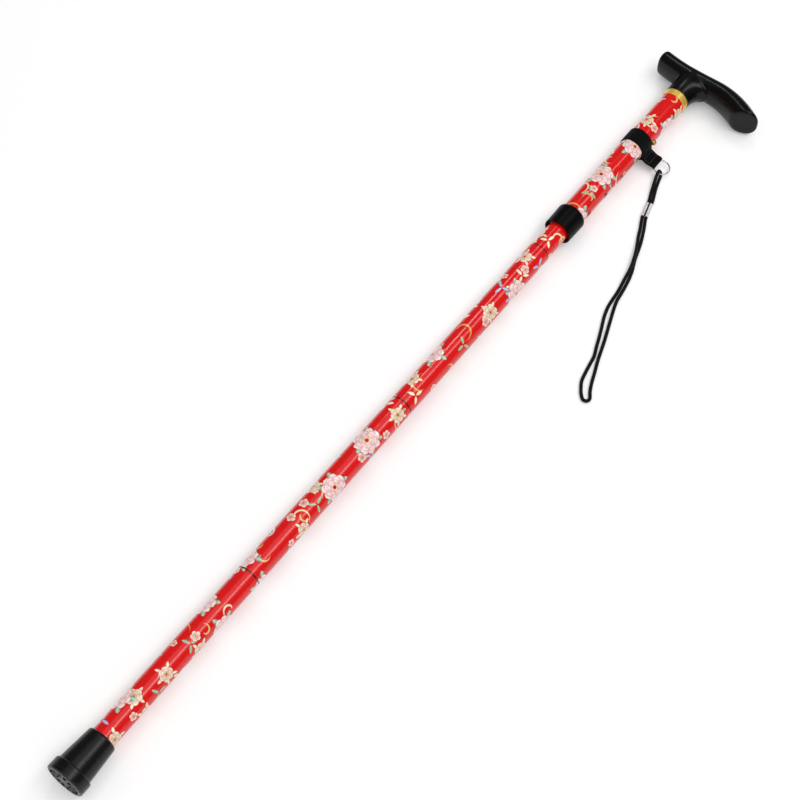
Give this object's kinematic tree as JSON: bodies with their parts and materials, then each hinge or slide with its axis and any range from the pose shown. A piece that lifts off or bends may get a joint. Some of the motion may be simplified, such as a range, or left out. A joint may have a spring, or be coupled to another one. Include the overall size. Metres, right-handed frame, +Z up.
{
  "type": "folding cane",
  "caption": "Folding walking cane with a T-handle, telescoping height setting, twist lock ring, elastic-cord fold joints, wrist strap and rubber tip.",
  "frame": {"origin": "centre of the rubber tip's ground face, on the shaft axis", "axes": "+X along the shaft from the tip to the handle, +Z up with the cane lying on its side, handle nose and strap on the -Y side"},
  "size_m": [0.8403, 0.153, 0.0324],
  "materials": {
    "black_plastic": "semi-gloss moulded black plastic",
    "gold_trim": "polished gold-coloured metal",
    "printed_lacquer": "drawn aluminium tube under glossy red lacquer with a flower print",
    "ring_plastic": "satin black plastic",
    "pale_plastic": "natural nylon",
    "inner_plastic": "black nylon",
    "webbing": "black nylon webbing",
    "strap_cord": "black braided cord",
    "plated_wire": "bright plated steel",
    "brass": "plated brass button on a spring strip",
    "bare_aluminium": "drawn aluminium",
    "steel": "plain steel",
    "elastic_cord": "black braided elastic",
    "tip_rubber": "moulded black rubber"
  },
  "bodies": {
    "section_1": {"inner_tube": "printed_lacquer", "inner_tube_plug": "inner_plastic", "spigot_1": "bare_aluminium", "cord_guide_1": "inner_plastic", "cord_anchor_top": "inner_plastic", "cord_ferrule_top": "steel", "elastic_cord": "elastic_cord"},
    "upper_shaft": {"outer_tube": "printed_lacquer", "handle": "black_plastic", "gold_collar": "gold_trim", "strap_band": "webbing", "thread_sleeve": "ring_plastic"},
    "button": {"snap_button": "brass"},
    "collet": {"lock_collet": "pale_plastic"},
    "lock_ring": {"lock_ring": "ring_plastic"},
    "strap": {"split_ring": "plated_wire", "strap_ring_cord": "strap_cord", "strap_crimp": "plated_wire", "wrist_cord": "strap_cord"},
    "section_2": {"tube_2": "printed_lacquer", "spigot_2": "bare_aluminium", "cord_guide_2": "inner_plastic"},
    "section_3": {"tube_3": "printed_lacquer", "spigot_3": "bare_aluminium", "cord_guide_3": "inner_plastic"},
    "section_4": {"tube_4": "printed_lacquer", "cord_anchor_bottom": "inner_plastic", "cord_ferrule_bottom": "steel", "rubber_tip": "tip_rubber", "tip_washer": "steel"}
  },
  "joints": [
    {"name": "height_adjust", "type": "slide", "parent": "section_1", "child": "upper_shaft", "axis": [1, 0, 0], "range_m": [0, 0.1], "deforming": ["snap_button"]},
    {"name": "button_press", "type": "slide", "parent": "section_1", "child": "button", "axis": [0, 1, 0], "range_m": [0, 0.0045], "stiffness_N_per_m": 1500, "springref_m": -0.001, "deforming": ["snap_button"]},
    {"name": "lock_collet_slide", "type": "slide", "parent": "upper_shaft", "child": "collet", "axis": [-1, 0, 0], "range_m": [0, 0.001]},
    {"name": "lock_ring_turn", "type": "hinge", "parent": "collet", "child": "lock_ring", "pos_m": [0.6275, 0, 0], "axis": [-1, 0, 0], "range_deg": [0, 180]},
    {"name": "ring_swing", "type": "hinge", "parent": "upper_shaft", "child": "strap", "pos_m": [0.73725, -0.022, -0.0102], "axis": [-1, 0, 0], "range_deg": [0, 80]},
    {"name": "pull_joint_1", "type": "slide", "parent": "section_1", "child": "section_2", "axis": [-1, 0, 0], "range_m": [0, 0.06], "stiffness_N_per_m": 120, "springref_m": -0.06, "deforming": ["elastic_cord"]},
    {"name": "pull_joint_2", "type": "slide", "parent": "section_2", "child": "section_3", "axis": [-1, 0, 0], "range_m": [0, 0.06], "stiffness_N_per_m": 120, "springref_m": -0.06, "deforming": ["elastic_cord"]},
    {"name": "pull_joint_3", "type": "slide", "parent": "section_3", "child": "section_4", "axis": [-1, 0, 0], "range_m": [0, 0.06], "stiffness_N_per_m": 120, "springref_m": -0.06, "deforming": ["elastic_cord"]}
  ],
  "couplings": [
    {"joint": "lock_collet_slide", "follows": "lock_ring_turn", "m_per_rad": 0.0003183}
  ]
}
